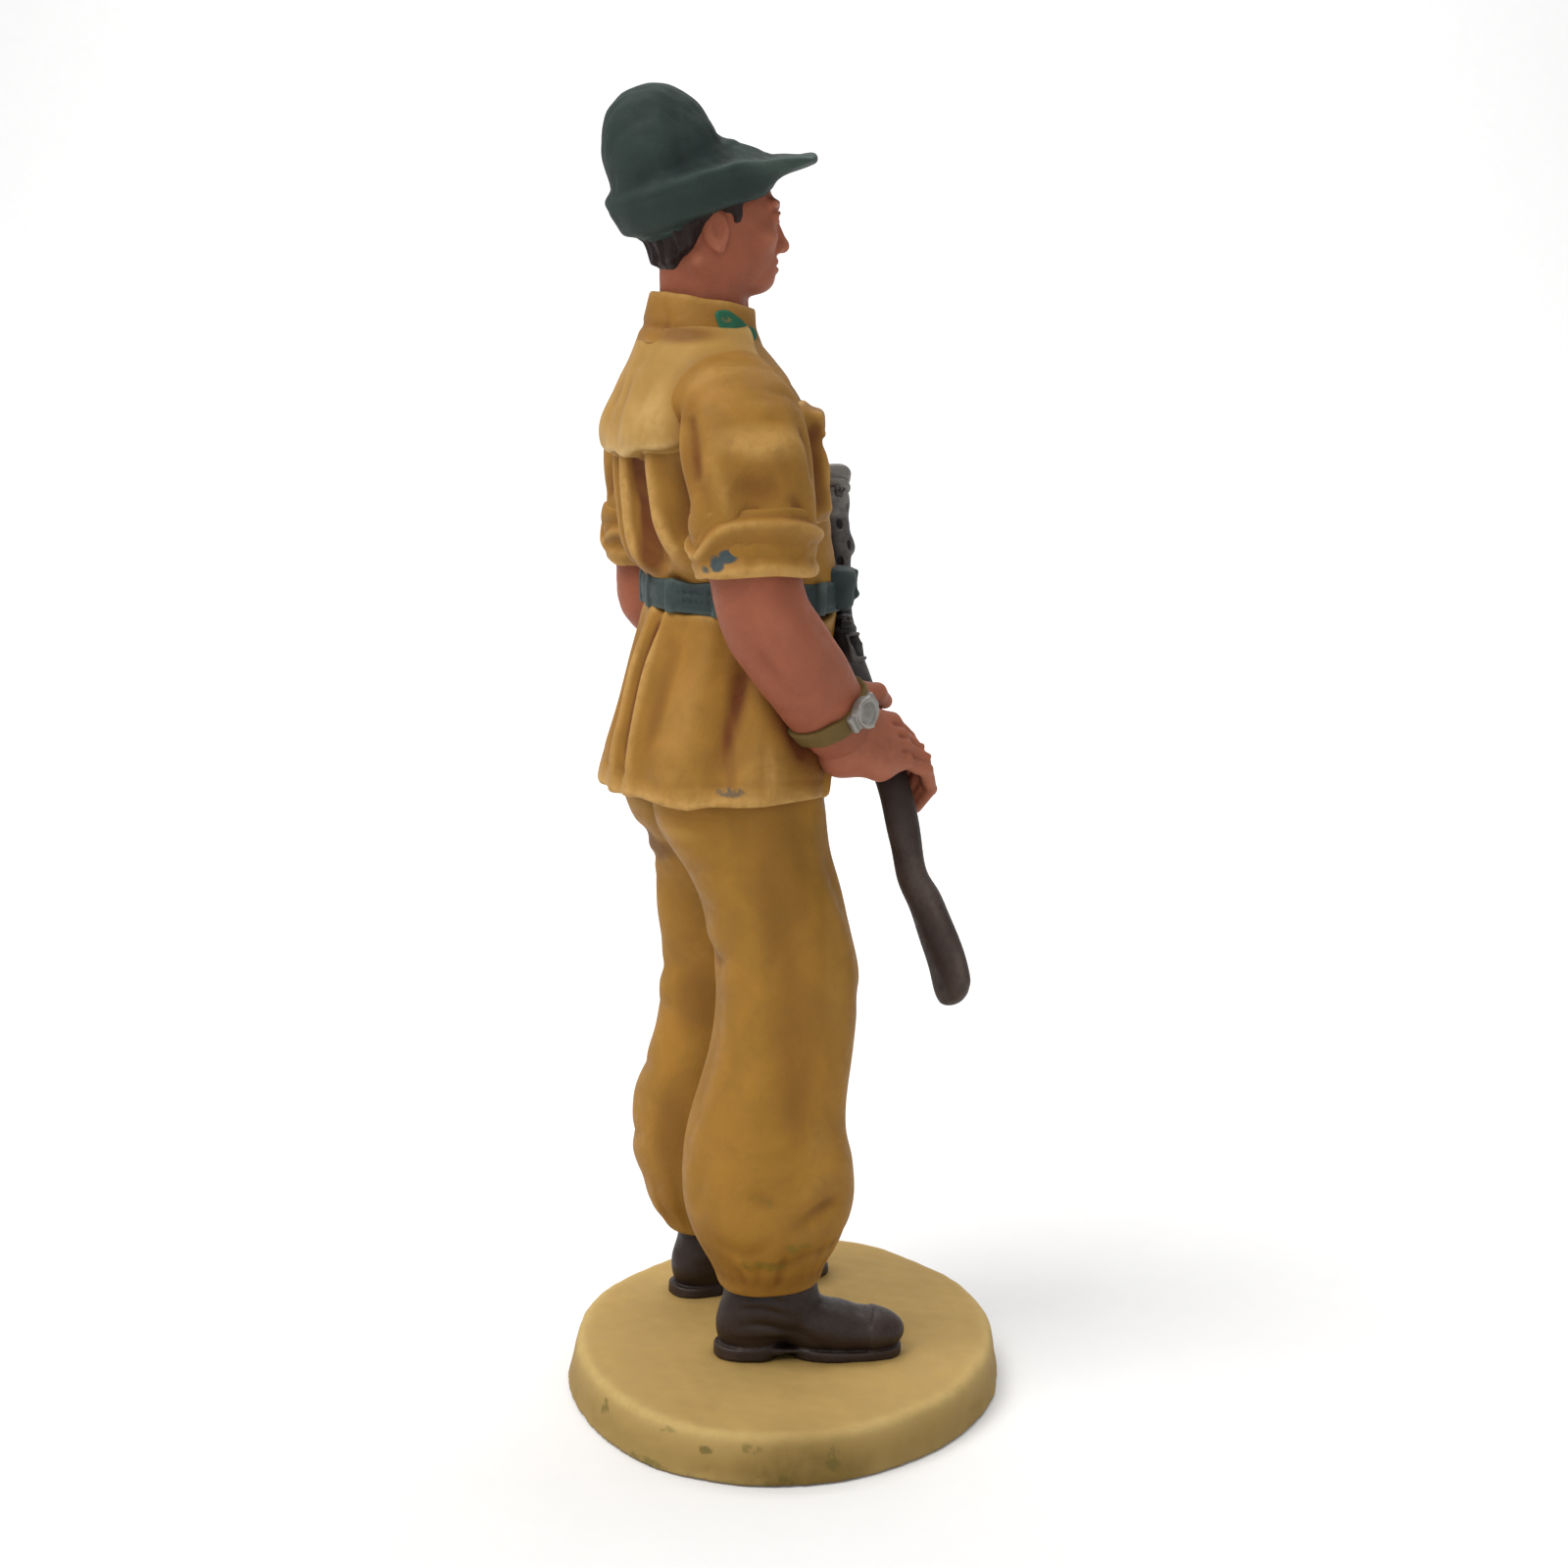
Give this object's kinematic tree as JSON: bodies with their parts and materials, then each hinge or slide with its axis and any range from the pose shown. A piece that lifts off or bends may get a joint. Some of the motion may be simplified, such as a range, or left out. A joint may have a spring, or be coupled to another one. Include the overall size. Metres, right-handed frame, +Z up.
{
  "type": "painted miniature soldier figure",
  "caption": "Painted metal figure of a standing soldier in tropical dress and felt hat, holding a weapon across the body, on an oval base.",
  "frame": {"origin": "centre of the oval base's underside", "axes": "+Z up along the standing figure; the figure faces -Y, and its right hand is on the -X side"},
  "size_m": [0.026, 0.0226, 0.063],
  "materials": {
    "sand_paint": "matte enamel, sand yellow, worn at the edge",
    "boot_paint": "matte dark brown",
    "trouser_paint": "matte khaki with darker wash in the folds",
    "jacket_paint": "matte khaki, dry-brushed lighter on the high spots",
    "webbing_paint": "matte grey-green",
    "silver_paint": "satin silver paint",
    "patch_paint": "matte green",
    "flesh_paint": "matte flesh with a reddish wash",
    "strap_paint": "matte olive brown",
    "hair_paint": "matte dark brown",
    "felt_paint": "matte dark grey-green",
    "stock_paint": "satin dark wood brown",
    "gun_paint": "satin black with silver dry-brush",
    "muzzle_paint": "satin gunmetal grey"
  },
  "bodies": {
    "root": {"base": "sand_paint", "right_boot": "boot_paint", "left_boot": "boot_paint", "right_trouser_leg": "trouser_paint", "left_trouser_leg": "trouser_paint", "jacket_skirt": "jacket_paint", "skirt_pockets": "jacket_paint", "belt": "webbing_paint", "belt_buckle": "silver_paint", "ammo_pouches": "webbing_paint", "jacket_body": "jacket_paint", "back_yoke": "jacket_paint", "chest_pockets": "jacket_paint", "collar": "jacket_paint", "collar_patches": "patch_paint", "right_sleeve": "jacket_paint", "left_sleeve": "jacket_paint", "right_cuff": "jacket_paint", "left_cuff": "jacket_paint", "right_forearm": "flesh_paint", "left_forearm": "flesh_paint", "right_hand": "flesh_paint", "left_hand": "flesh_paint", "watch_strap": "strap_paint", "watch_case": "silver_paint", "head": "flesh_paint", "hair": "hair_paint", "hat_brim": "felt_paint", "hat_crown": "felt_paint", "gun_stock": "stock_paint", "gun_receiver": "gun_paint", "barrel_jacket": "gun_paint", "gun_barrel": "muzzle_paint", "magazine": "gun_paint", "trigger_guard": "gun_paint", "gun_triggers": "muzzle_paint", "front_sight": "gun_paint", "rear_sight": "gun_paint"}
  },
  "joints": []
}
